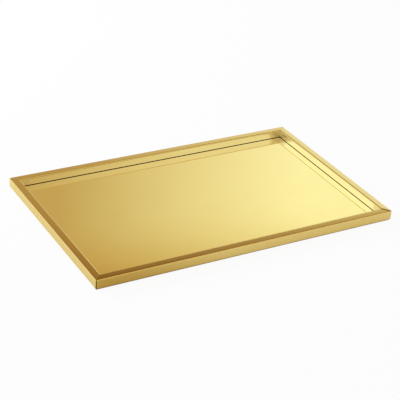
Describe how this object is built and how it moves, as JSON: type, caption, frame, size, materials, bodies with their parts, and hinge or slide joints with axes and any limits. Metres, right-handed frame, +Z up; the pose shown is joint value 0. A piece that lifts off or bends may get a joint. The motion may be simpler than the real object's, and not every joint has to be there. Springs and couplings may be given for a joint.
{
  "type": "towel tray",
  "caption": "Low rectangular vanity tray: mitred box-section rim around a mirror-bright floor sheet, to hold rolled towels or toiletries on a counter.",
  "frame": {"origin": "centre of the footprint, on the plane that the feet rest on", "axes": "+X along the tray's length, +Y across it away from the front rail, +Z up"},
  "size_m": [0.4, 0.25, 0.0131],
  "materials": {
    "gold_mirror_steel": "polished",
    "gold_anodised_aluminium": "polished",
    "cast_aluminium": "matte",
    "zinc_plated_steel": "satin",
    "grey_silicone": "satin"
  },
  "bodies": {
    "root": {"floor_sheet": "gold_mirror_steel", "front_rail": "gold_anodised_aluminium", "right_rail": "gold_anodised_aluminium", "back_rail": "gold_anodised_aluminium", "left_rail": "gold_anodised_aluminium", "corner_key_front_left": "cast_aluminium", "corner_key_front_right": "cast_aluminium", "corner_key_back_right": "cast_aluminium", "corner_key_back_left": "cast_aluminium", "front_rail_screw_left": "zinc_plated_steel", "front_rail_screw_right": "zinc_plated_steel", "right_rail_screw_front": "zinc_plated_steel", "right_rail_screw_back": "zinc_plated_steel", "back_rail_screw_right": "zinc_plated_steel", "back_rail_screw_left": "zinc_plated_steel", "left_rail_screw_back": "zinc_plated_steel", "left_rail_screw_front": "zinc_plated_steel", "foot_front_left": "grey_silicone", "foot_front_right": "grey_silicone", "foot_back_right": "grey_silicone", "foot_back_left": "grey_silicone"}
  },
  "joints": []
}
